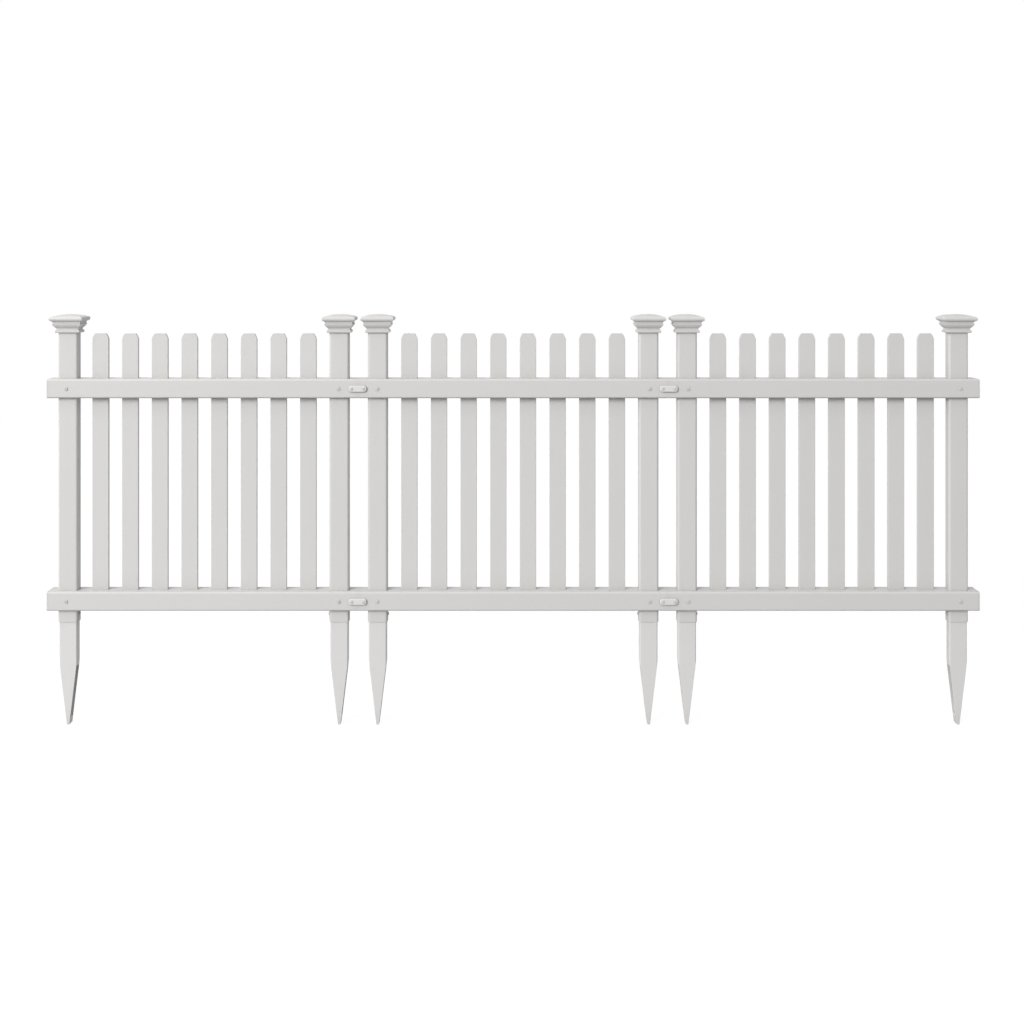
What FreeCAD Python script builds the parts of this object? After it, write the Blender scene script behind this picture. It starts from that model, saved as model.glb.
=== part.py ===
import FreeCAD, Part
import os
import Sketcher
from FreeCAD import Vector

# Picket fence in white plastic: a straight run of three equal panels, each on two staked posts.
#
# X runs along the fence, Y from front to back and Z up, in millimetres. The origin is at ground level on
# the axis of the first post, in the flat foot of its wall, which stands on the ground.

PANELS = ("left", "middle", "right")
SIDES = ("left", "right")

SIZES = [
    ("panel_length", 914.4, "one panel, from rail end to rail end"),
    ("post_width", 58.4, "along the fence"),
    ("post_depth", 29.2, "across the fence"),
    ("post_height", 884.0, "from the ground to the post's top, inside its cap"),
    ("post_wall", 2.5, ""),
    ("post_corner_radius", 7.0, ""),
    ("post_inset", 56.8, "from the panel's end to the post's axis"),
    ("rail_height", 56.2, ""),
    ("rail_depth", 55.0, "across the fence"),
    ("rail_wall", 2.5, ""),
    ("rail_edge_radius", 5.0, "the long edges"),
    ("bottom_rail_level", 36.6, "underside above the ground"),
    ("top_rail_level", 662.2, "underside above the ground"),
    ("slot_clearance", 0.3, "round a post or picket where it goes through a rail"),
    ("end_plug_flange", 4.0, "thickness of the plate that closes a rail end"),
    ("end_plug_spigot", 14.0, "length that reaches into the rail"),
    ("end_plug_clearance", 0.15, "between spigot and rail wall"),
    ("picket_count", 8, "in one panel"),
    ("picket_width", 48.4, ""),
    ("picket_thickness", 8.5, ""),
    ("picket_top_level", 851.4, "above the ground"),
    ("picket_edge_radius", 1.7, "the long edges, cut at 45 degrees along this round"),
    ("picket_ear_width", 8.3, "cut off each top corner"),
    ("picket_ear_height", 17.5, "cut off each top corner"),
    ("picket_ear_bulge", 1.1, "of the cut's slightly round edge"),
    ("stake_reach", 303.4, "from the ground down to the tip"),
    ("stake_shoulder", 115.0, "from the ground down to where the taper starts"),
    ("stake_insertion", 110.0, "length inside the post"),
    ("stake_tip_width", 7.6, ""),
    ("stake_clearance", 0.3, "to the post's inner walls"),
    ("cap_skirt", 30.0, "how far the cap comes down over the post"),
    ("cap_clearance", 0.2, "between the cap's socket and the post"),
    ("cap_foot_overhang", 4.7, "top and bottom of the foot bead, beyond the post's face"),
    ("cap_foot_height", 8.4, ""),
    ("cap_foot_bulge", 2.0, "of the foot bead's round edge"),
    ("cap_neck_overhang", 3.0, ""),
    ("cap_neck_level", 13.3, "top of the plain neck, above the cap's foot"),
    ("cap_flare_overhang", 12.4, "top of the flare that rises from the neck"),
    ("cap_flare_level", 25.0, "top of the flare"),
    ("cap_flare_bulge", 0.9, "of the flare's round face"),
    ("cap_fillet_height", 2.0, "of the narrow band over the flare"),
    ("cap_fascia_overhang", 10.6, "foot of the flat band under the slab"),
    ("cap_fascia_lean", 1.0, "how far the flat band leans out to its top"),
    ("cap_fascia_level", 33.0, "top of the flat band"),
    ("cap_slab_overhang", 17.4, "lower edge of the slab"),
    ("cap_slab_level", 36.2, "lower edge of the slab"),
    ("cap_nose_overhang", 16.6, "upper edge of the slab"),
    ("cap_nose_level", 46.8, "upper edge of the slab"),
    ("cap_nose_bulge", 2.4, "of the slab's round edge"),
    ("cap_crown_rise", 7.8, "of the domed top over the slab's upper edge"),
    ("link_plate_length", 53.0, "along the fence"),
    ("link_plate_height", 19.0, ""),
    ("link_plate_thickness", 5.5, ""),
    ("link_plate_corner_radius", 8.0, ""),
]

doc = FreeCAD.newDocument("picket_fence")
sheet = doc.addObject("Spreadsheet::Sheet", "sizes")
for row, (alias, amount, note) in enumerate(SIZES, start=1):
    sheet.set(f"A{row}", alias)
    sheet.set(f"B{row}", str(amount))
    sheet.set(f"C{row}", note)
    sheet.setAlias(f"B{row}", alias)
doc.recompute()


class Length:
    """A length together with the sheet formula that drives it, so that what is worked out stays tied."""

    def __init__(self, value, formula=None):
        self.value = float(value)
        self.formula = formula or str(value)

    @staticmethod
    def of(other):
        return other if isinstance(other, Length) else Length(other)

    def __add__(self, other):
        other = Length.of(other)
        return Length(self.value + other.value, f"({self.formula} + {other.formula})")

    def __sub__(self, other):
        other = Length.of(other)
        return Length(self.value - other.value, f"({self.formula} - {other.formula})")

    def __mul__(self, other):
        other = Length.of(other)
        return Length(self.value * other.value, f"({self.formula} * {other.formula})")

    def __truediv__(self, other):
        other = Length.of(other)
        return Length(self.value / other.value, f"({self.formula} / {other.formula})")

    def __neg__(self):
        return Length(0) - self


def size(alias):
    return Length(sheet.get(alias), f"sizes.{alias}")


ZERO = Length(0)


# Drawing aids

def own_datum(body, role):
    """One of the body's own planes or axes."""
    return next(item for item in body.Origin.OriginFeatures if item.Role == role)


def new_sketch(body, name, role, offset=None):
    """A sketch on one of the body's own planes, moved along the plane's normal by the offset."""
    sketch = body.newObject("Sketcher::SketchObject", name)
    sketch.AttachmentSupport = [(own_datum(body, role), "")]
    sketch.MapMode = "FlatFace"
    if offset:
        sketch.setExpression("AttachmentOffset.Base.z", offset.formula)
    return sketch


def drive(sketch, constraint, length):
    """Add a constraint whose amount follows the sheet."""
    index = sketch.addConstraint(constraint)
    sketch.setExpression(f"Constraints[{index}]", length.formula)


def arc_between(start, end, bulge):
    """Round edge from start to end. A positive bulge is to the right of the way from start to end."""
    chord = end - start
    outward = Vector(chord.y, -chord.x, 0).normalize() * bulge
    curve = Part.Arc(start, (start + end) / 2 + outward, end).toShape().Curve
    centre = curve.Center
    first, last = (start, end) if bulge > 0 else (end, start)
    x_axis = Vector(1, 0, 0)
    circle = Part.Circle(centre, Vector(0, 0, 1), curve.Radius)
    angles = []
    for point in (first, last):
        spoke = point - centre
        angle = spoke.getAngle(x_axis)
        angles.append(angle if spoke.y >= 0 else -angle)
    return Part.ArcOfCircle(circle, angles[0], angles[1])


def draw_outline(sketch, corners, bulges=None):
    """Closed outline through the corners, anticlockwise. bulges gives the rise of an edge that is an arc."""
    bulges = bulges or {}
    ends = []
    for number, (x, y) in enumerate(corners):
        next_x, next_y = corners[(number + 1) % len(corners)]
        start, end = Vector(x.value, y.value, 0), Vector(next_x.value, next_y.value, 0)
        bulge = bulges.get(number)
        if bulge is None:
            edge = sketch.addGeometry(Part.LineSegment(start, end))
            ends.append((edge, 1, 2))
            continue
        edge = sketch.addGeometry(arc_between(start, end, bulge.value))
        ends.append((edge, 1, 2) if bulge.value > 0 else (edge, 2, 1))
        across, along = next_x - x, next_y - y
        rise = bulge if bulge.value > 0 else -bulge
        radius = (across * across + along * along) / (rise * 8) + rise / 2
        drive(sketch, Sketcher.Constraint("Radius", edge, radius.value), radius)
    for number, (x, y) in enumerate(corners):
        before, here = ends[number - 1], ends[number]
        sketch.addConstraint(Sketcher.Constraint("Coincident", before[0], before[2], here[0], here[1]))
        for kind, length in (("DistanceX", x), ("DistanceY", y)):
            drive(sketch, Sketcher.Constraint(kind, -1, 1, here[0], here[1], length.value), length)


def draw_rounded_rectangle(sketch, width, height, radius, centre=(ZERO, ZERO)):
    """Rectangle with quarter-round corners, about its centre."""
    half_width, half_height = width / 2, height / 2
    quarter_bulge = radius * (1 - 0.5 ** 0.5)
    corners, bulges = [], {}
    for side_x, side_y in ((1, -1), (1, 1), (-1, 1), (-1, -1)):
        x, y = half_width * side_x, half_height * side_y
        along = (x - radius * side_x, y)
        up = (x, y - radius * side_y)
        bulges[len(corners)] = quarter_bulge
        corners += (along, up) if side_x * side_y < 0 else (up, along)
    moved = [(x + centre[0], y + centre[1]) for x, y in corners]
    draw_outline(sketch, moved, bulges)


def draw_cut_rectangle(sketch, width, height, radius, centre=(ZERO, ZERO)):
    """Rectangle with its corners cut at 45 degrees, each along the tangent of a round of the given radius."""
    half_width, half_height = width / 2, height / 2
    leg = radius * (2 - 2 ** 0.5)
    corners = []
    for side_x, side_y in ((1, -1), (1, 1), (-1, 1), (-1, -1)):
        x, y = half_width * side_x + centre[0], half_height * side_y + centre[1]
        along, up = (x - leg * side_x, y), (x, y - leg * side_y)
        corners += (along, up) if side_x * side_y < 0 else (up, along)
    draw_outline(sketch, corners)


def draw_rectangle(sketch, width, height, centre):
    left, right = centre[0] - width / 2, centre[0] + width / 2
    low, high = centre[1] - height / 2, centre[1] + height / 2
    draw_outline(sketch, [(left, low), (right, low), (right, high), (left, high)])


def extrude(body, kind, name, sketch, length=None, symmetric=False, reverse=False):
    """Pad or pocket of a sketch; a pocket with no length goes right through."""
    feature = body.newObject(f"PartDesign::{kind}", name)
    feature.Profile = sketch
    feature.SideType = "Symmetric" if symmetric else "One side"
    feature.Reversed = reverse
    if length is None:
        feature.Type = "ThroughAll"
    else:
        feature.setExpression("Length", length.formula)
    sketch.Visibility = False
    return feature


def repeat_along(body, name, originals, pitch, count):
    pattern = body.newObject("PartDesign::LinearPattern", name)
    pattern.Originals = originals
    pattern.Direction = (own_datum(body, "X_Axis"), [""])
    pattern.Mode = "Spacing"
    pattern.setExpression("Offset", pitch.formula)
    pattern.setExpression("Occurrences", count.formula)
    body.Tip = pattern


def new_body(label, x, z=ZERO):
    body = doc.addObject("PartDesign::Body", label)
    body.Label = label
    body.setExpression("Placement.Base.x", x.formula)
    body.setExpression("Placement.Base.z", z.formula)
    return body


# Places along the fence

def panel_start(number):
    """Left end of a panel. The first post's axis is at X = 0."""
    return size("panel_length") * number - size("post_inset")


def post_axis(side):
    """Post axis from the panel's left end."""
    return size("post_inset") if side == "left" else size("panel_length") - size("post_inset")


post_width, post_depth = size("post_width"), size("post_depth")
post_bore_width = post_width - size("post_wall") * 2
post_bore_depth = post_depth - size("post_wall") * 2
post_bore_radius = size("post_corner_radius") - size("post_wall")
rail_height, rail_depth = size("rail_height"), size("rail_depth")
rail_bore_height = rail_height - size("rail_wall") * 2
rail_bore_depth = rail_depth - size("rail_wall") * 2
rail_bore_radius = size("rail_edge_radius") - size("rail_wall")

clear_between_posts = size("panel_length") - size("post_inset") * 2 - post_width
picket_gap = (clear_between_posts - size("picket_width") * size("picket_count")) / (size("picket_count") + 1)
picket_pitch = size("picket_width") + picket_gap
first_picket = post_axis("left") + post_width / 2 + picket_gap + size("picket_width") / 2


# Posts

def make_post(label, x):
    """Hollow rectangular tube with round outer corners, open at both ends."""
    body = new_body(label, x)
    section = new_sketch(body, label + "_section", "XY_Plane")
    draw_rounded_rectangle(section, post_width, post_depth, size("post_corner_radius"))
    draw_cut_rectangle(section, post_bore_width, post_bore_depth, post_bore_radius)
    extrude(body, "Pad", label + "_tube", section, size("post_height"))
    return body


# Post caps

def cap_profile(half_width):
    """Moulding outline about the post's axis: foot bead, neck, flare, narrow band, fascia, slab and crown."""
    steps = [
        (size("cap_foot_overhang"), ZERO, size("cap_foot_bulge")),
        (size("cap_foot_overhang"), size("cap_foot_height"), None),
        (size("cap_neck_overhang"), size("cap_foot_height"), None),
        (size("cap_neck_overhang"), size("cap_neck_level"), size("cap_flare_bulge")),
        (size("cap_flare_overhang"), size("cap_flare_level"), None),
        (size("cap_flare_overhang"), size("cap_flare_level") + size("cap_fillet_height"), None),
        (size("cap_fascia_overhang"), size("cap_flare_level") + size("cap_fillet_height"), None),
        (size("cap_fascia_overhang") + size("cap_fascia_lean"), size("cap_fascia_level"), None),
        (size("cap_slab_overhang"), size("cap_slab_level"), size("cap_nose_bulge")),
        (size("cap_nose_overhang"), size("cap_nose_level"), size("cap_crown_rise")),
    ]
    right = [(half_width + overhang, level) for overhang, level, _ in steps]
    left = [(-x, level) for x, level in reversed(right)]
    bulges = {number: bulge for number, (_, _, bulge) in enumerate(steps) if bulge}
    last = len(steps) - 1
    for number in range(last):
        if number in bulges:
            bulges[2 * last - number] = bulges[number]
    return right + left, bulges


def make_cap(label, x):
    """Moulded cap: the front outline runs the cap's depth, and the side outline trims it, which mitres it."""
    body = new_body(label, x, size("post_height") - size("cap_skirt"))
    widest = size("cap_slab_overhang") + size("cap_nose_bulge")
    front = new_sketch(body, label + "_front_outline", "XZ_Plane")
    draw_outline(front, *cap_profile(post_width / 2))
    extrude(body, "Pad", label + "_run", front, post_depth + widest * 2, symmetric=True)

    side = new_sketch(body, label + "_side_trim", "YZ_Plane")
    draw_outline(side, *cap_profile(post_depth / 2))
    frame_half = post_depth / 2 + widest * 2
    frame_top = size("cap_nose_level") + size("cap_crown_rise") + widest
    draw_outline(side, [(frame_half, -widest), (frame_half, frame_top), (-frame_half, frame_top),
                        (-frame_half, -widest)])
    extrude(body, "Pocket", label + "_mitre", side, symmetric=True)

    socket = new_sketch(body, label + "_socket_outline", "XY_Plane")
    gap = size("cap_clearance")
    draw_cut_rectangle(socket, post_width + gap * 2, post_depth + gap * 2, size("post_corner_radius") + gap)
    extrude(body, "Pocket", label + "_socket", socket, size("cap_skirt"), reverse=True)
    return body


# Ground stakes

def make_stake(label, x):
    """Bar that fills the post's bore, cut to a narrow blunt tip by two sloping faces."""
    body = new_body(label, x, -size("stake_reach"))
    gap = size("stake_clearance")
    width, depth = post_bore_width - gap * 2, post_bore_depth - gap * 2
    section = new_sketch(body, label + "_section", "XY_Plane")
    draw_cut_rectangle(section, width, depth, post_bore_radius)
    extrude(body, "Pad", label + "_bar", section, size("stake_reach") + size("stake_insertion"))
    doc.recompute()
    edge, tip = width / 2, size("stake_tip_width") / 2
    shoulder, past = size("stake_reach") - size("stake_shoulder"), size("stake_tip_width")
    taper = new_sketch(body, label + "_taper_outlines", "XZ_Plane")
    draw_outline(taper, [(tip, ZERO), (tip, -past), (edge + past, -past), (edge + past, shoulder),
                         (edge, shoulder)])
    draw_outline(taper, [(-tip, ZERO), (-edge, shoulder), (-edge - past, shoulder), (-edge - past, -past),
                         (-tip, -past)])
    extrude(body, "Pocket", label + "_taper", taper, symmetric=True)
    return body


# Rails

def make_rail(label, x, level, pickets_pass):
    """Hollow box rail, slotted for both posts and for the pickets, which may stop inside it."""
    body = new_body(label, x, level)
    section = new_sketch(body, label + "_section", "YZ_Plane", size("end_plug_flange"))
    middle = (ZERO, rail_height / 2)
    draw_rounded_rectangle(section, rail_depth, rail_height, size("rail_edge_radius"), middle)
    draw_cut_rectangle(section, rail_bore_depth, rail_bore_height, rail_bore_radius, middle)
    extrude(body, "Pad", label + "_tube", section, size("panel_length") - size("end_plug_flange") * 2)
    doc.recompute()

    gap = size("slot_clearance")
    posts = new_sketch(body, label + "_post_outlines", "XY_Plane", rail_height / 2)
    for side in SIDES:
        draw_cut_rectangle(posts, post_width + gap * 2, post_depth + gap * 2,
                           size("post_corner_radius") + gap, (post_axis(side), ZERO))
    extrude(body, "Pocket", label + "_post_slots", posts, symmetric=True)

    picket = new_sketch(body, label + "_picket_outline", "XY_Plane", rail_height / 2)
    draw_rectangle(picket, size("picket_width") + gap * 2, size("picket_thickness") + gap * 2,
                   (first_picket, ZERO))
    slot = extrude(body, "Pocket", label + "_picket_slot", picket, symmetric=pickets_pass,
                   reverse=not pickets_pass)
    doc.recompute()
    repeat_along(body, label + "_picket_slots", [slot], picket_pitch, size("picket_count"))
    return body


def make_end_plug(label, x, level, side):
    """Closing plate of a rail end, flush with the rail all round, with a spigot that reaches inside."""
    body = new_body(label, x, level)
    sign = 1 if side == "left" else -1
    flange, radius = size("end_plug_flange"), size("rail_edge_radius")
    middle = (ZERO, rail_height / 2)
    plate = new_sketch(body, label + "_plate_outline", "YZ_Plane")
    draw_rounded_rectangle(plate, rail_depth, rail_height, radius, middle)
    extrude(body, "Pad", label + "_plate", plate, flange, reverse=side == "right")
    spigot = new_sketch(body, label + "_spigot_outline", "YZ_Plane", flange * sign)
    gap = size("end_plug_clearance")
    draw_cut_rectangle(spigot, rail_bore_depth - gap * 2, rail_bore_height - gap * 2,
                       rail_bore_radius - gap, middle)
    extrude(body, "Pad", label + "_spigot", spigot, size("end_plug_spigot"), reverse=side == "right")
    return body


# Pickets

def make_pickets(label, x):
    """Flat bars with clipped top corners, standing on the inside of the bottom rail."""
    foot = size("bottom_rail_level") + size("rail_wall")
    length = size("picket_top_level") - foot
    body = new_body(label, x + first_picket, foot)
    width, ear = size("picket_width"), size("picket_ear_width")
    section = new_sketch(body, label + "_section", "XY_Plane")
    draw_cut_rectangle(section, width, size("picket_thickness"), size("picket_edge_radius"))
    bar = extrude(body, "Pad", label + "_bar", section, length)
    doc.recompute()
    ears = new_sketch(body, label + "_ear_outlines", "XZ_Plane")
    edge, shoulder = width / 2, length - size("picket_ear_height")
    draw_outline(ears, [(edge, shoulder), (edge + ear, shoulder), (edge + ear, length + ear),
                        (edge - ear, length + ear), (edge - ear, length)], {4: -size("picket_ear_bulge")})
    draw_outline(ears, [(-edge, shoulder), (-edge + ear, length), (-edge + ear, length + ear),
                        (-edge - ear, length + ear), (-edge - ear, shoulder)], {0: -size("picket_ear_bulge")})
    clip = extrude(body, "Pocket", label + "_ears", ears, symmetric=True)
    doc.recompute()
    repeat_along(body, label + "_row", [bar, clip], picket_pitch, size("picket_count"))
    return body


# Link plates

def make_link_plate(label, x, level):
    """Oblong plate with round corners across a butt joint, on the rails' front faces."""
    body = new_body(label, x, level + rail_height / 2)
    outline = new_sketch(body, label + "_outline", "XZ_Plane", rail_depth / 2)
    draw_rounded_rectangle(outline, size("link_plate_length"), size("link_plate_height"),
                           size("link_plate_corner_radius"))
    extrude(body, "Pad", label + "_plate", outline, size("link_plate_thickness"))
    return body


# The run of panels

rails = (("bottom", size("bottom_rail_level")), ("top", size("top_rail_level")))
parts = []
for number, panel in enumerate(PANELS):
    start = panel_start(number)
    for side in SIDES:
        axis = start + post_axis(side)
        parts.append(make_post(f"{panel}_panel_{side}_post", axis))
        parts.append(make_cap(f"{panel}_panel_{side}_post_cap", axis))
        parts.append(make_stake(f"{panel}_panel_{side}_ground_stake", axis))
    parts.append(make_pickets(f"{panel}_panel_pickets", start))
    for rail, level in rails:
        parts.append(make_rail(f"{panel}_panel_{rail}_rail", start, level, pickets_pass=rail == "top"))
        for side, end in (("left", start), ("right", start + size("panel_length"))):
            parts.append(make_end_plug(f"{panel}_panel_{rail}_rail_{side}_end_plug", end, level, side))
for joint, number in (("left", 1), ("right", 2)):
    for rail, level in rails:
        parts.append(make_link_plate(f"{joint}_joint_{rail}_link_plate", panel_start(number), level))
doc.recompute()


# Checks and files

for item in doc.Objects:
    if "Invalid" in item.State or "Error" in item.State:
        raise RuntimeError(f"{item.Label}: {item.State}")
for item in parts:
    if item.Shape.isNull() or not item.Shape.isValid():
        raise RuntimeError(f"{item.Label}: no valid shape")

os.makedirs("parts", exist_ok=True)
for item in parts:
    item.Shape.exportStep(f"parts/{item.Label}.step")
print(len(parts), "parts")
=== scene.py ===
import math

import bmesh
import bpy
from mathutils import Matrix, Vector


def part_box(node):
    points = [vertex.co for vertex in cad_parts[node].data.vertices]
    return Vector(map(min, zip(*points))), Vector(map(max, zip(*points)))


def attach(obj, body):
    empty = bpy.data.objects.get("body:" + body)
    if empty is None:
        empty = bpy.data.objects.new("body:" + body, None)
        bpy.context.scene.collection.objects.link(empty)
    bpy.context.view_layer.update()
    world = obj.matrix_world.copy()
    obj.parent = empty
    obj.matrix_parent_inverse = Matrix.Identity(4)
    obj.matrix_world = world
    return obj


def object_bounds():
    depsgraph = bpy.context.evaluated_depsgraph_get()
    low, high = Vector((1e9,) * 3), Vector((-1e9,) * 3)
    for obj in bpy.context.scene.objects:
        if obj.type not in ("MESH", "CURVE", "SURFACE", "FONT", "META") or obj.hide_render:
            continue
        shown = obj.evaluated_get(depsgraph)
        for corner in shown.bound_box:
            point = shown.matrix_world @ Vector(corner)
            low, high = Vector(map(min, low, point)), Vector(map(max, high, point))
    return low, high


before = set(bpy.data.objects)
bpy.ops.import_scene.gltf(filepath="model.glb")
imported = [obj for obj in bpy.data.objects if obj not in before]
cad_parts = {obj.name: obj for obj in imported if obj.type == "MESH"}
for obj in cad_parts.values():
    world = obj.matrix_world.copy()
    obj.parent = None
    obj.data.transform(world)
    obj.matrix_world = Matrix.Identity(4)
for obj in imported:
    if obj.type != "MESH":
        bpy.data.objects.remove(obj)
cad_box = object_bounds()

# White plastic picket fence: three panels in a straight run, each on two capped and staked posts.
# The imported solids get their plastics, their rounded edges and the stakes' hollows. The screws are added.

for flat_material in list(bpy.data.materials):
    bpy.data.materials.remove(flat_material)

PANELS = ("left", "middle", "right")
SIDES = ("left", "right")
RAILS = ("bottom", "top")
JOINTS = ("left", "right")

# Camera, in metres, and the photograph's frame in pixels

PHOTO_WIDTH = 1024
FOCAL_LENGTH_IN_PIXELS = 1063
VANISHING_COLUMN, VANISHING_ROW = 499.4, 262
CAMERA_PLACE = Vector((1.2741, -3.1517, 1.063))
SENSOR_WIDTH_MM = 36

# Light, in metres and watts

KEY_DIRECTION = Vector((-0.60, -0.71, 0.385))
KEY_DISTANCE = 20
KEY_DIAMETER = 10.7
KEY_POWER = 3000
OVERHEAD_PLACE = Vector((-1.6, -0.35, 4.6))
OVERHEAD_DIAMETER = 3.0
OVERHEAD_POWER = 38
FILL_PLACE = Vector((13.3, -1.6, 0.8))
FILL_DIAMETER = 4.0
FILL_POWER = 75
SKY_AT_HORIZON, SKY_OVERHEAD = 0.25, 0.60
FLOOR_DROP = 0.001
FLOOR_HALF_WIDTH = 6
FLOOR_ALBEDO = 0.42
FLOOR_GLOW_SEEN = 0.93
FLOOR_ALBEDO_SEEN = 0.11

# Screws, in metres; the shares are of a head's radius or rise

RAIL_SCREW_RADIUS = 0.0056
RAIL_SCREW_RISE = 0.0022
PLATE_SCREW_RADIUS = 0.0043
PLATE_SCREW_RISE = 0.0016
POST_SCREW_RADIUS = 0.0045
POST_SCREW_RISE = 0.0030
POST_SCREW_LEVEL = 0.021
PLATE_SCREW_SPACING = 0.035
HEAD_SEGMENTS = 32
SHOULDER_STEPS = 4
SHOULDER_SHARE = 0.6
RECESS_MOUTH_REACH, RECESS_MOUTH_HALF_WIDTH = 0.36, 0.07
RECESS_FLOOR_REACH, RECESS_FLOOR_HALF_WIDTH = 0.22, 0.04
RECESS_FLOOR_LEVEL = 0.6

# Edges: width in metres of the rounding, by the last word of a node's name; a plate's stops at half its
# thickness

EDGE_ROUNDS = {"post": 0.0006, "cap": 0.0006, "stake": 0.0010, "pickets": 0.0006, "rail": 0.0005,
               "plug": 0.0003, "plate": 0.0045}
EDGE_SEGMENTS = 4
SMOOTH_ANGLE = math.radians(28)
FLAT_ANGLE = math.radians(0.5)
WELD_DISTANCE = 1e-5

# Stakes, in metres, levels from the ground: two hollows with a web between them, from the solid tip to above
# the start of the taper

STAKE_WIDTH, STAKE_DEPTH, STAKE_TIP, STAKE_TOP = 0.0528, 0.0236, -0.3034, 0.110
STAKE_WALL = 0.002
SOLID_TIP_LENGTH = 0.021
HOLLOW_WIDTH = (STAKE_WIDTH - 3 * STAKE_WALL) / 2
HOLLOW_DEPTH = STAKE_DEPTH - 2 * STAKE_WALL
HOLLOW_BOTTOM, HOLLOW_TOP = STAKE_TIP + SOLID_TIP_LENGTH, -0.060

# Plastics: albedos, the directions that grain runs in, and the painted shade in inner corners and on
# undersides

WARM_WHITE = (0.700, 0.693, 0.678)
STAKE_WHITE = (0.755, 0.745, 0.740)
PLATE_WHITE = (0.780, 0.772, 0.760)
SCREW_WHITE = (0.66, 0.655, 0.64)
ALONG_X, ALONG_Z, EVEN = (0.02, 1, 1), (1, 1, 0.02), (1, 1, 1)
NOISE_LOW, NOISE_HIGH = 0.3, 0.7
CLOUD_SCALE, CLOUD_DETAIL = 3.5, 3
FADED_SHARE = 0.985
# Painted shade: how dark inner corners and undersides are painted, how far a corner's darkening reaches, and
# its samples
PAINTED_SHADE_SHARE, STAKE_PAINTED_SHADE_SHARE = 0.58, 0.8
PAINTED_SHADE_REACH = 0.06
PAINTED_SHADE_SAMPLES = 6
UNDERSIDE_SHADE = 0.7
GRAIN_DETAIL = 4
GRAIN_STRENGTH = 0.25
ROUGHNESS_SPREAD = 0.05
SPECULAR_LEVEL = 0.35

# Numbers of the Mix node's sockets for colours

MIX_AMOUNT, MIX_LOW, MIX_HIGH, MIX_RESULT = 0, 6, 7, 2


# Materials

def noise(tree, scale, detail, stretch=EVEN):
    """Noise in the row frame, drawn out along an axis where the stretch is small."""
    place = tree.nodes.new("ShaderNodeTexCoord")
    mapping = tree.nodes.new("ShaderNodeMapping")
    mapping.inputs["Scale"].default_value = stretch
    texture = tree.nodes.new("ShaderNodeTexNoise")
    texture.inputs["Scale"].default_value = scale
    texture.inputs["Detail"].default_value = detail
    tree.links.new(place.outputs["Object"], mapping.inputs["Vector"])
    tree.links.new(mapping.outputs["Vector"], texture.inputs["Vector"])
    return texture.outputs["Fac"]


def ramp(tree, value, low, high):
    """Carry the noise's middle range over to the range from low to high."""
    spread = tree.nodes.new("ShaderNodeMapRange")
    spread.inputs["From Min"].default_value = NOISE_LOW
    spread.inputs["From Max"].default_value = NOISE_HIGH
    spread.inputs["To Min"].default_value = low
    spread.inputs["To Max"].default_value = high
    tree.links.new(value, spread.inputs["Value"])
    return spread.outputs["Result"]


def blend(tree, amount, low, high):
    """Colour between low and high; each is a colour or a socket."""
    mix = tree.nodes.new("ShaderNodeMix")
    mix.data_type = "RGBA"
    tree.links.new(amount, mix.inputs[MIX_AMOUNT])
    for place, colour in ((mix.inputs[MIX_LOW], low), (mix.inputs[MIX_HIGH], high)):
        if isinstance(colour, tuple):
            place.default_value = (*colour, 1)
        else:
            tree.links.new(colour, place)
    return mix.outputs[MIX_RESULT]


def calculate(tree, operation, *values):
    """One sum on sockets or numbers."""
    step = tree.nodes.new("ShaderNodeMath")
    step.operation = operation
    for place, value in zip(step.inputs, values):
        if isinstance(value, (int, float)):
            place.default_value = value
        else:
            tree.links.new(value, place)
    return step.outputs["Value"]


def painted_shade_factor(tree, underside_shade):
    """1 in the open and on an upward face, where the colour is left unshaded.

    It falls to 0 deep in an inner corner, which paints shade there, and on an underside by its share of
    painted shade.
    """
    corner = tree.nodes.new("ShaderNodeAmbientOcclusion")
    corner.samples = PAINTED_SHADE_SAMPLES
    corner.inputs["Distance"].default_value = PAINTED_SHADE_REACH
    surface = tree.nodes.new("ShaderNodeNewGeometry")
    direction = tree.nodes.new("ShaderNodeSeparateXYZ")
    tree.links.new(surface.outputs["Normal"], direction.inputs["Vector"])
    upward = direction.outputs["Z"]
    open_or_upward = calculate(tree, "MAXIMUM", corner.outputs["AO"], upward)
    return calculate(tree, "MULTIPLY_ADD", calculate(tree, "MINIMUM", upward, 0.0), underside_shade, open_or_upward)


def plastic(name, colour, roughness, grain_stretch, grain_scale, grain_depth, underside_shade=0.0,
            painted_shade_share=PAINTED_SHADE_SHARE):
    """White plastic, faintly clouded and unevenly glossy, with painted shade in its inner corners and on
    undersides.

    Its grain runs the way the piece was formed.
    """
    material = bpy.data.materials.new(name)
    material.use_nodes = True
    tree = material.node_tree
    shader = tree.nodes["Principled BSDF"]
    links = tree.links
    faded, painted_shaded = (tuple(share * part for part in colour) for share in (FADED_SHARE, painted_shade_share))
    unshaded_colour = blend(tree, ramp(tree, noise(tree, CLOUD_SCALE, CLOUD_DETAIL), 0, 1), faded, colour)
    # Painted shade: the colour darkens toward a shaded copy in inner corners and on undersides, not on
    # upward faces.
    links.new(blend(tree, painted_shade_factor(tree, underside_shade), painted_shaded, unshaded_colour), shader.inputs["Base Color"])
    grain = noise(tree, grain_scale, GRAIN_DETAIL, grain_stretch)
    gloss = ramp(tree, grain, roughness - ROUGHNESS_SPREAD, roughness + ROUGHNESS_SPREAD)
    links.new(gloss, shader.inputs["Roughness"])
    shader.inputs["Specular IOR Level"].default_value = SPECULAR_LEVEL
    bump = tree.nodes.new("ShaderNodeBump")
    bump.inputs["Strength"].default_value = GRAIN_STRENGTH
    bump.inputs["Distance"].default_value = grain_depth
    links.new(grain, bump.inputs["Height"])
    links.new(bump.outputs["Normal"], shader.inputs["Normal"])
    return material


# Rails and link plates get painted shade on their undersides as well; stakes get a stronger painted shade.
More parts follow.
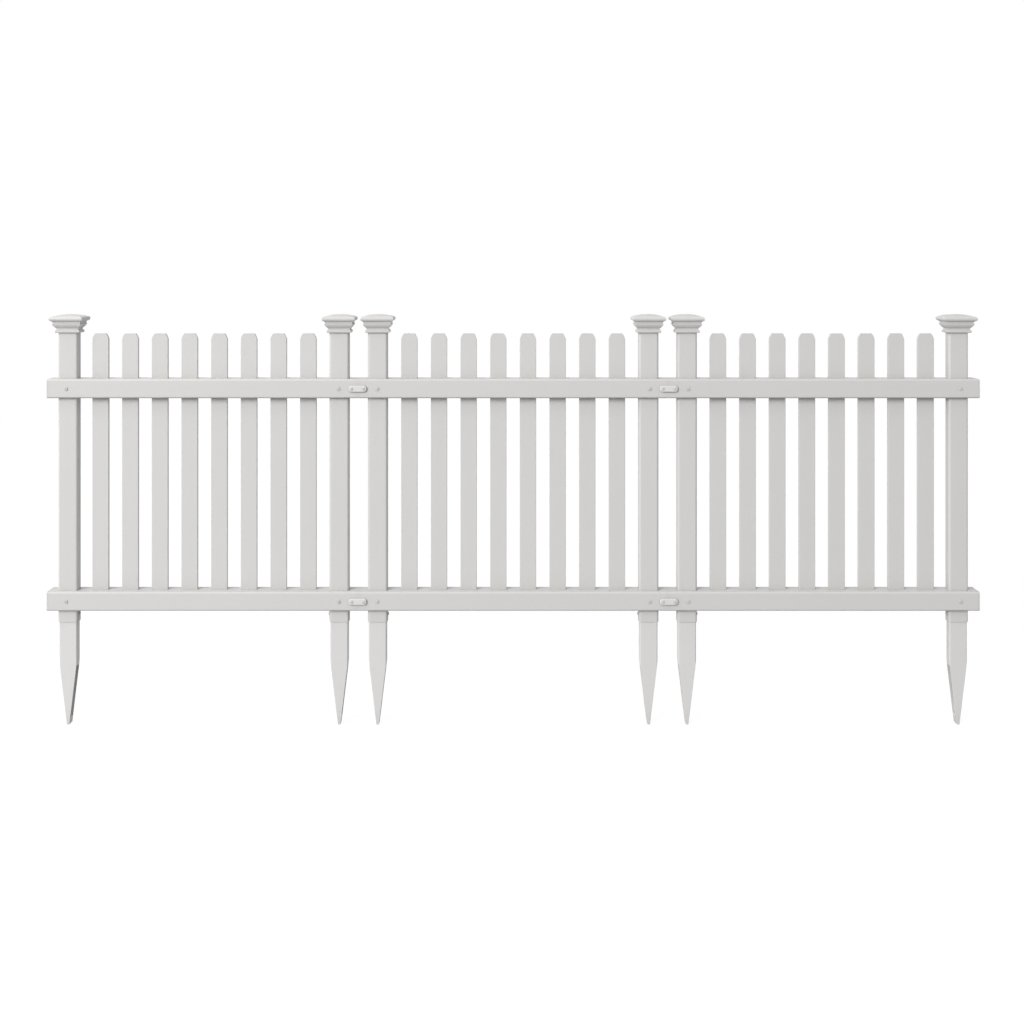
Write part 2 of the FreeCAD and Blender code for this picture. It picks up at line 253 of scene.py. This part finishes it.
PLASTICS = {
    "post": plastic("post_plastic", WARM_WHITE, 0.50, ALONG_Z, 900, 0.0001),
    "pickets": plastic("picket_plastic", WARM_WHITE, 0.52, ALONG_Z, 900, 0.0001),
    "rail": plastic("rail_plastic", WARM_WHITE, 0.48, ALONG_X, 900, 0.0001, underside_shade=UNDERSIDE_SHADE),
    "cap": plastic("cap_plastic", WARM_WHITE, 0.46, EVEN, 1400, 0.00006),
    "plug": plastic("end_plug_plastic", WARM_WHITE, 0.48, EVEN, 1400, 0.00006),
    "plate": plastic("link_plate_plastic", PLATE_WHITE, 0.48, EVEN, 1400, 0.00006, underside_shade=UNDERSIDE_SHADE),
    "stake": plastic("stake_plastic", STAKE_WHITE, 0.50, EVEN, 1100, 0.00010,
                     painted_shade_share=STAKE_PAINTED_SHADE_SHARE),
}
screw_paint = plastic("screw_paint", SCREW_WHITE, 0.35, EVEN, 1600, 0.00004)


# Modifiers

def new_shape_group(name):
    """Empty geometry node group, with its start and end."""
    group = bpy.data.node_groups.new(name, "GeometryNodeTree")
    group.interface.new_socket("Geometry", in_out="INPUT", socket_type="NodeSocketGeometry")
    group.interface.new_socket("Geometry", in_out="OUTPUT", socket_type="NodeSocketGeometry")
    return group, group.nodes.new("NodeGroupInput"), group.nodes.new("NodeGroupOutput")


def make_smoothing():
    """Shade smooth across every edge flatter than SMOOTH_ANGLE."""
    group, start, end = new_shape_group("smooth_shading")
    faces = group.nodes.new("GeometryNodeSetShadeSmooth")
    edges = group.nodes.new("GeometryNodeSetShadeSmooth")
    edges.domain = "EDGE"
    edges.inputs["Shade Smooth"].default_value = False
    angle = group.nodes.new("GeometryNodeInputMeshEdgeAngle")
    sharp = group.nodes.new("FunctionNodeCompare")
    sharp.operation = "GREATER_THAN"
    sharp.inputs["B"].default_value = SMOOTH_ANGLE
    group.links.new(start.outputs[0], faces.inputs["Geometry"])
    group.links.new(faces.outputs["Geometry"], edges.inputs["Geometry"])
    group.links.new(angle.outputs["Unsigned Angle"], sharp.inputs["A"])
    group.links.new(sharp.outputs["Result"], edges.inputs["Selection"])
    group.links.new(edges.outputs["Geometry"], end.inputs[0])
    return group


def make_hollowing():
    """Cut a stake's two hollows, one on each side of its web; the taper lays them open."""
    group, start, end = new_shape_group("stake_hollows")
    links = group.links
    extent = group.nodes.new("GeometryNodeBoundBox")
    total = group.nodes.new("ShaderNodeVectorMath")
    links.new(start.outputs[0], extent.inputs["Geometry"])
    links.new(extent.outputs["Min"], total.inputs[0])
    links.new(extent.outputs["Max"], total.inputs[1])
    hollow = group.nodes.new("GeometryNodeMeshCube")
    hollow.inputs["Size"].default_value = (HOLLOW_WIDTH, HOLLOW_DEPTH, HOLLOW_TOP - HOLLOW_BOTTOM)
    lining = group.nodes.new("GeometryNodeSetMaterial")
    lining.inputs["Material"].default_value = PLASTICS["stake"]
    links.new(hollow.outputs["Mesh"], lining.inputs["Geometry"])
    cut = group.nodes.new("GeometryNodeMeshBoolean")
    cut.operation = "DIFFERENCE"
    cut.solver = "EXACT"
    links.new(start.outputs[0], cut.inputs["Mesh 1"])
    lift = (HOLLOW_TOP + HOLLOW_BOTTOM - STAKE_TIP - STAKE_TOP) / 2
    for side in (-1, 1):
        middle = group.nodes.new("ShaderNodeVectorMath")
        middle.operation = "MULTIPLY_ADD"
        middle.inputs[1].default_value = (0.5, 0.5, 0.5)
        middle.inputs[2].default_value = (side * (HOLLOW_WIDTH + STAKE_WALL) / 2, 0, lift)
        placed = group.nodes.new("GeometryNodeTransform")
        links.new(total.outputs["Vector"], middle.inputs[0])
        links.new(lining.outputs["Geometry"], placed.inputs["Geometry"])
        links.new(middle.outputs["Vector"], placed.inputs["Translation"])
        links.new(placed.outputs["Geometry"], cut.inputs["Mesh 2"])
    links.new(cut.outputs["Mesh"], end.inputs[0])
    return group


smoothing = make_smoothing()
hollowing = make_hollowing()


def round_edges(piece, width):
    """Join the split corners, merge what is flat and round every sharp edge."""
    weld = piece.modifiers.new("weld", "WELD")
    weld.merge_threshold = WELD_DISTANCE
    merge = piece.modifiers.new("merge_flats", "DECIMATE")
    merge.decimate_type = "DISSOLVE"
    merge.angle_limit = FLAT_ANGLE
    bevel = piece.modifiers.new("round", "BEVEL")
    bevel.width = width
    bevel.segments = EDGE_SEGMENTS
    bevel.limit_method = "ANGLE"
    bevel.angle_limit = SMOOTH_ANGLE


def smooth(piece):
    """Shade smooth, with the normals of the large faces kept flat."""
    piece.modifiers.new("smooth", "NODES").node_group = smoothing
    flats = piece.modifiers.new("flats", "WEIGHTED_NORMAL")
    flats.keep_sharp = True


for name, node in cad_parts.items():
    kind = name.rsplit("_", 1)[-1]
    material = PLASTICS[kind]
    node.data.materials.clear()
    node.data.materials.append(material)
    round_edges(node, EDGE_ROUNDS[kind])
    if kind == "stake":
        node.modifiers.new("hollows", "NODES").node_group = hollowing
    smooth(node)


# Screws

def ring(shape, places):
    return [shape.verts.new(place) for place in places]


def bridge(shape, low, high):
    """Quads between two closed rings that have as many points."""
    for number, corner in enumerate(low):
        after = (number + 1) % len(low)
        shape.faces.new((corner, low[after], high[after], high[number]))


def cross_outline(reach, half_width, level):
    """Plus sign about the Z axis, anticlockwise, as twelve points."""
    arm = [(reach, -half_width), (reach, half_width), (half_width, half_width)]
    points = []
    for turn in range(4):
        spin = Matrix.Rotation(math.pi / 2 * turn, 3, "Z")
        points += [spin @ Vector((x, y, level)) for x, y in arm]
    return points


def pan_head(name, radius, rise):
    """Pan screw head about +Z with a round shoulder and a tapered cross recess, its seat at Z 0."""
    shape = bmesh.new()
    shoulder = rise * SHOULDER_SHARE
    profile = [(radius, 0), (radius, rise - shoulder)]
    for step in range(1, SHOULDER_STEPS + 1):
        angle = math.pi / 2 * step / SHOULDER_STEPS
        reach = radius - shoulder * (1 - math.cos(angle))
        profile.append((reach, rise - shoulder * (1 - math.sin(angle))))
    spokes = [2 * math.pi * number / HEAD_SEGMENTS for number in range(HEAD_SEGMENTS)]
    rings = [ring(shape, [(reach * math.cos(a), reach * math.sin(a), level) for a in spokes])
             for reach, level in profile]
    for low, high in zip(rings, rings[1:]):
        bridge(shape, low, high)
    shape.faces.new(reversed(rings[0]))
    mouth = ring(shape, cross_outline(radius * RECESS_MOUTH_REACH, radius * RECESS_MOUTH_HALF_WIDTH, rise))
    floor = ring(shape, cross_outline(radius * RECESS_FLOOR_REACH, radius * RECESS_FLOOR_HALF_WIDTH,
                                      rise * RECESS_FLOOR_LEVEL))
    shape.faces.new(floor)
    bridge(shape, floor, mouth)
    loops = [shape.edges.get((points[number - 1], points[number])) for points in (rings[-1], mouth)
             for number in range(len(points))]
    bmesh.ops.triangle_fill(shape, edges=loops, use_beauty=True)
    bmesh.ops.recalc_face_normals(shape, faces=shape.faces)
    mesh = bpy.data.meshes.new(name)
    shape.to_mesh(mesh)
    shape.free()
    mesh.materials.append(screw_paint)
    return mesh


def place_head(mesh, name, place, facing):
    """Seat a head at a place, its recess turned the way it faces."""
    head = bpy.data.objects.new(name, mesh)
    bpy.context.scene.collection.objects.link(head)
    head.matrix_world = Matrix.Translation(place) @ facing.to_track_quat("Z", "Y").to_matrix().to_4x4()
    smooth(head)
    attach(head, "root")


FRONT = Vector((0, -1, 0))
rail_head = pan_head("rail_screw_head", RAIL_SCREW_RADIUS, RAIL_SCREW_RISE)
plate_head = pan_head("plate_screw_head", PLATE_SCREW_RADIUS, PLATE_SCREW_RISE)
post_head = pan_head("post_screw_head", POST_SCREW_RADIUS, POST_SCREW_RISE)

for panel in PANELS:
    for side in SIDES:
        post_low, post_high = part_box(f"{panel}_panel_{side}_post")
        axis = (post_low.x + post_high.x) / 2
        for rail in RAILS:
            low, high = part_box(f"{panel}_panel_{rail}_rail")
            place = Vector((axis, low.y, (low.z + high.z) / 2))
            place_head(rail_head, f"{panel}_panel_{rail}_rail_{side}_screw", place, FRONT)
        inward = 1 if side == "left" else -1
        face = post_high.x if side == "left" else post_low.x
        place_head(post_head, f"{panel}_panel_{side}_post_foot_screw",
                   Vector((face, 0, POST_SCREW_LEVEL)), Vector((inward, 0, 0)))
for joint in JOINTS:
    for rail in RAILS:
        low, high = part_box(f"{joint}_joint_{rail}_link_plate")
        middle = (low + high) / 2
        for side, sign in zip(SIDES, (-1, 1)):
            place = Vector((middle.x + sign * PLATE_SCREW_SPACING / 2, low.y, middle.z))
            place_head(plate_head, f"{joint}_joint_{rail}_{side}_plate_screw", place, FRONT)


# Stage

def seen(tree):
    """1 for what the camera sees, straight, in a reflection or through a clear piece."""
    rays = tree.nodes.new("ShaderNodeLightPath").outputs
    direct = calculate(tree, "MAXIMUM", rays["Is Camera Ray"], rays["Is Glossy Ray"])
    return calculate(tree, "MAXIMUM", direct, rays["Is Transmission Ray"])


def diffuse(tree, albedo):
    shader = tree.nodes.new("ShaderNodeBsdfDiffuse")
    shader.inputs["Color"].default_value = (albedo, albedo, albedo, 1)
    return shader.outputs[0]


def make_floor():
    """White with a faint shadow where it is seen, and plain pale to the light that it throws back."""
    material = bpy.data.materials.new("floor")
    material.use_nodes = True
    tree = material.node_tree
    tree.nodes.clear()
    links = tree.links
    glow = tree.nodes.new("ShaderNodeEmission")
    glow.inputs["Strength"].default_value = FLOOR_GLOW_SEEN
    white = tree.nodes.new("ShaderNodeAddShader")
    mix = tree.nodes.new("ShaderNodeMixShader")
    output = tree.nodes.new("ShaderNodeOutputMaterial")
    links.new(glow.outputs[0], white.inputs[0])
    links.new(diffuse(tree, FLOOR_ALBEDO_SEEN), white.inputs[1])
    links.new(seen(tree), mix.inputs[0])
    links.new(diffuse(tree, FLOOR_ALBEDO), mix.inputs[1])
    links.new(white.outputs[0], mix.inputs[2])
    links.new(mix.outputs[0], output.inputs["Surface"])

    half, level = FLOOR_HALF_WIDTH, cad_box[0].z - FLOOR_DROP
    corners = [(-half, -half, level), (half, -half, level), (half, half, level), (-half, half, level)]
    mesh = bpy.data.meshes.new("floor")
    mesh.from_pydata(corners, [], [(0, 1, 2, 3)])
    mesh.materials.append(material)
    floor = bpy.data.objects.new("floor", mesh)
    bpy.context.scene.collection.objects.link(floor)


def make_sky():
    """White where it is seen, and as light brighter overhead than at the horizon."""
    world = bpy.data.worlds.new("studio")
    bpy.context.scene.world = world
    world.use_nodes = True
    tree = world.node_tree
    links = tree.links
    background = tree.nodes["Background"]
    background.inputs["Color"].default_value = (1, 1, 1, 1)
    place = tree.nodes.new("ShaderNodeTexCoord")
    height = tree.nodes.new("ShaderNodeSeparateXYZ")
    light = tree.nodes.new("ShaderNodeMapRange")
    light.inputs["To Min"].default_value = SKY_AT_HORIZON
    light.inputs["To Max"].default_value = SKY_OVERHEAD
    strength = tree.nodes.new("ShaderNodeMapRange")
    strength.inputs["To Max"].default_value = 1.0
    links.new(place.outputs["Generated"], height.inputs["Vector"])
    links.new(height.outputs["Z"], light.inputs["Value"])
    links.new(seen(tree), strength.inputs["Value"])
    links.new(light.outputs["Result"], strength.inputs["To Min"])
    links.new(strength.outputs["Result"], background.inputs["Strength"])


def make_soft_light(name, place, diameter, power):
    """Round area light that faces the middle of the fence."""
    light = bpy.data.lights.new(name, "AREA")
    light.shape = "DISK"
    light.size = diameter
    light.energy = power
    lamp = bpy.data.objects.new(name, light)
    lamp.location = place
    lamp.rotation_mode = "QUATERNION"
    lamp.rotation_quaternion = (place - fence_middle).to_track_quat("Z", "Y")
    bpy.context.scene.collection.objects.link(lamp)


def make_camera():
    """Level camera square to the fence, its frame shifted to the photograph's."""
    data = bpy.data.cameras.new("camera")
    data.sensor_width = SENSOR_WIDTH_MM
    data.lens = SENSOR_WIDTH_MM * FOCAL_LENGTH_IN_PIXELS / PHOTO_WIDTH
    data.shift_x = 0.5 - VANISHING_COLUMN / PHOTO_WIDTH
    data.shift_y = VANISHING_ROW / PHOTO_WIDTH - 0.5
    camera = bpy.data.objects.new("camera", data)
    camera.location = CAMERA_PLACE
    camera.rotation_euler = (math.pi / 2, 0, 0)
    bpy.context.scene.collection.objects.link(camera)
    bpy.context.scene.camera = camera


make_floor()
make_sky()
fence_middle = (cad_box[0] + cad_box[1]) / 2
key_place = fence_middle + KEY_DIRECTION.normalized() * KEY_DISTANCE
make_soft_light("key", key_place, KEY_DIAMETER, KEY_POWER)
make_soft_light("overhead", OVERHEAD_PLACE, OVERHEAD_DIAMETER, OVERHEAD_POWER)
make_soft_light("fill", FILL_PLACE, FILL_DIAMETER, FILL_POWER)
make_camera()
bpy.context.scene.view_settings.view_transform = "Standard"
